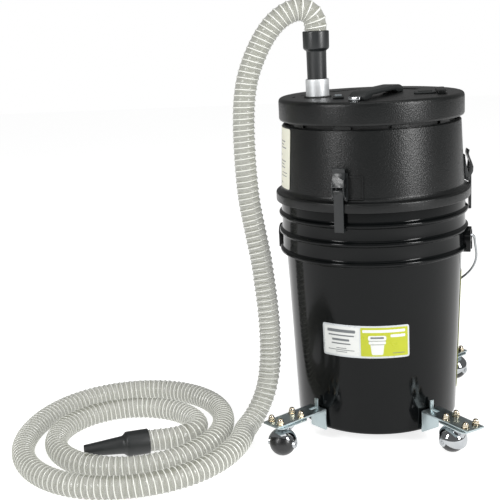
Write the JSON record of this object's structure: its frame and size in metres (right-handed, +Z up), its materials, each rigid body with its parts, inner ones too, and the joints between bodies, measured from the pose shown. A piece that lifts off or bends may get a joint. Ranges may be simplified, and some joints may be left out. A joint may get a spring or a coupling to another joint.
{
  "type": "dust collector",
  "caption": "Portable dust collector: motor head latched on a filter pail with a bail, swivelling ball casters, and a ribbed suction hose with a nozzle.",
  "frame": {"origin": "on the floor, on the pail's axis", "axes": "+Z up along the pail's axis; -Y is the front, which carries the printed label; the hose lies on the -X side"},
  "size_m": [0.7574, 0.55, 0.6967],
  "materials": {
    "gloss_black": "high gloss moulded polyethylene",
    "grained_black": "fine pebble grain",
    "satin_black": "satin",
    "rubber_black": "matt",
    "zinc": "bright zinc plate on rolled sheet",
    "chrome": "polished",
    "steel": "bright",
    "aluminium": "as drawn tube",
    "label_print": "glossy self-adhesive label",
    "cream_label": "self-adhesive label",
    "filter_media": "pleated glass-fibre paper",
    "clear_pvc": "clear PVC with a white spiral rib",
    "grey_plastic": "satin"
  },
  "bodies": {
    "pail": {"pail": "gloss_black", "pail_label": "label_print", "side_label": "label_print", "motor_housing": "grained_black", "rim_gasket": "rubber_black", "head_label": "cream_label", "lid": "grained_black", "motor_gasket": "rubber_black", "fan_shell": "steel", "motor_case": "steel", "filter_cartridge": "filter_media", "filter_top_ring": "rubber_black", "filter_end_cap": "satin_black", "inlet_tube": "aluminium", "inlet_downpipe": "satin_black", "handle_strap": "rubber_black", "handle_cap_front": "chrome", "handle_cap_rear": "chrome", "switch_bezel": "grey_plastic", "power_inlet": "satin_black", "front_latch_base": "satin_black", "right_latch_base": "satin_black", "rear_latch_base": "satin_black", "front_left_bracket": "zinc", "front_left_caster_plate": "steel", "front_right_bracket": "zinc", "front_right_caster_plate": "steel", "rear_right_bracket": "zinc", "rear_right_caster_plate": "steel", "rear_left_bracket": "zinc", "rear_left_caster_plate": "steel", "hose_cuff": "satin_black", "hose_riser": "clear_pvc", "hose_coil": "clear_pvc", "hose_tail": "clear_pvc", "hose_nozzle": "satin_black"},
    "motor_rotor": {"motor_shaft": "steel", "impeller": "aluminium"},
    "rocker": {"switch_rocker": "satin_black"},
    "bail": {"bail_wire": "steel"},
    "front_lever": {"front_latch_lever": "satin_black"},
    "front_strap": {"front_latch_strap": "satin_black"},
    "right_lever": {"right_latch_lever": "satin_black"},
    "right_strap": {"right_latch_strap": "satin_black"},
    "rear_lever": {"rear_latch_lever": "satin_black"},
    "rear_strap": {"rear_latch_strap": "satin_black"},
    "front_left_swivel": {"front_left_caster_hood": "chrome", "front_left_caster_axle": "steel"},
    "front_left_ball": {"front_left_caster_ball": "rubber_black"},
    "front_right_swivel": {"front_right_caster_hood": "chrome", "front_right_caster_axle": "steel"},
    "front_right_ball": {"front_right_caster_ball": "rubber_black"},
    "rear_right_swivel": {"rear_right_caster_hood": "chrome", "rear_right_caster_axle": "steel"},
    "rear_right_ball": {"rear_right_caster_ball": "rubber_black"},
    "rear_left_swivel": {"rear_left_caster_hood": "chrome", "rear_left_caster_axle": "steel"},
    "rear_left_ball": {"rear_left_caster_ball": "rubber_black"}
  },
  "joints": [
    {"name": "motor_spin", "type": "hinge", "parent": "pail", "child": "motor_rotor", "pos_m": [0.02, 0.006, 0.44], "axis": [0, 0, 1], "continuous": true},
    {"name": "switch_rock", "type": "hinge", "parent": "pail", "child": "rocker", "pos_m": [-0.049, -0.062, 0.5443], "axis": [1, 0, 0], "range_deg": [0, 10]},
    {"name": "bail_swing", "type": "hinge", "parent": "pail", "child": "bail", "pos_m": [0, 0, 0.318], "axis": [0.9781, -0.2079, 0], "range_deg": [0, 50]},
    {"name": "front_lever_turn", "type": "hinge", "parent": "pail", "child": "front_lever", "pos_m": [-0.04855, -0.14509, 0.401], "axis": [0.9483, -0.3173, 0], "range_deg": [0, 90]},
    {"name": "front_strap_turn", "type": "hinge", "parent": "front_lever", "child": "front_strap", "pos_m": [-0.0502, -0.15002, 0.4135], "axis": [0.9483, -0.3173, 0], "range_deg": [-108, 0]},
    {"name": "right_lever_turn", "type": "hinge", "parent": "pail", "child": "right_lever", "pos_m": [0.15186, 0.01865, 0.401], "axis": [-0.1219, 0.9925, 0], "range_deg": [0, 90]},
    {"name": "right_strap_turn", "type": "hinge", "parent": "right_lever", "child": "right_strap", "pos_m": [0.15702, 0.01928, 0.4135], "axis": [-0.1219, 0.9925, 0], "range_deg": [-108, 0]},
    {"name": "rear_lever_turn", "type": "hinge", "parent": "pail", "child": "rear_lever", "pos_m": [-0.09208, 0.12219, 0.401], "axis": [-0.7986, -0.6018, 0], "range_deg": [0, 90]},
    {"name": "rear_strap_turn", "type": "hinge", "parent": "rear_lever", "child": "rear_strap", "pos_m": [-0.09521, 0.12634, 0.4135], "axis": [-0.7986, -0.6018, 0], "range_deg": [-108, 0]},
    {"name": "front_left_swivel_turn", "type": "hinge", "parent": "pail", "child": "front_left_swivel", "pos_m": [-0.1418, -0.14943, 0.044], "axis": [0, 0, 1], "continuous": true},
    {"name": "front_left_ball_roll", "type": "hinge", "parent": "front_left_swivel", "child": "front_left_ball", "pos_m": [-0.14761, -0.1654, 0.0205], "axis": [0.9397, -0.342, 0], "continuous": true},
    {"name": "front_right_swivel_turn", "type": "hinge", "parent": "pail", "child": "front_right_swivel", "pos_m": [0.12683, -0.16233, 0.044], "axis": [0, 0, 1], "continuous": true},
    {"name": "front_right_ball_roll", "type": "hinge", "parent": "front_right_swivel", "child": "front_right_ball", "pos_m": [0.11523, -0.1499, 0.0205], "axis": [-0.7314, -0.682, 0], "continuous": true},
    {"name": "rear_right_swivel_turn", "type": "hinge", "parent": "pail", "child": "rear_right_swivel", "pos_m": [0.13379, 0.15664, 0.044], "axis": [0, 0, 1], "continuous": true},
    {"name": "rear_right_ball_roll", "type": "hinge", "parent": "rear_right_swivel", "child": "rear_right_ball", "pos_m": [0.14581, 0.16866, 0.0205], "axis": [-0.7071, 0.7071, 0], "continuous": true},
    {"name": "rear_left_swivel_turn", "type": "hinge", "parent": "pail", "child": "rear_left_swivel", "pos_m": [-0.10916, 0.1747, 0.044], "axis": [0, 0, 1], "continuous": true},
    {"name": "rear_left_ball_roll", "type": "hinge", "parent": "rear_left_swivel", "child": "rear_left_ball", "pos_m": [-0.10066, 0.18942, 0.0205], "axis": [-0.866, 0.5, 0], "continuous": true}
  ],
  "couplings": [
    {"joint": "front_strap_turn", "follows": "front_lever_turn", "ratio": -1.15},
    {"joint": "right_strap_turn", "follows": "right_lever_turn", "ratio": -1.15},
    {"joint": "rear_strap_turn", "follows": "rear_lever_turn", "ratio": -1.15}
  ]
}
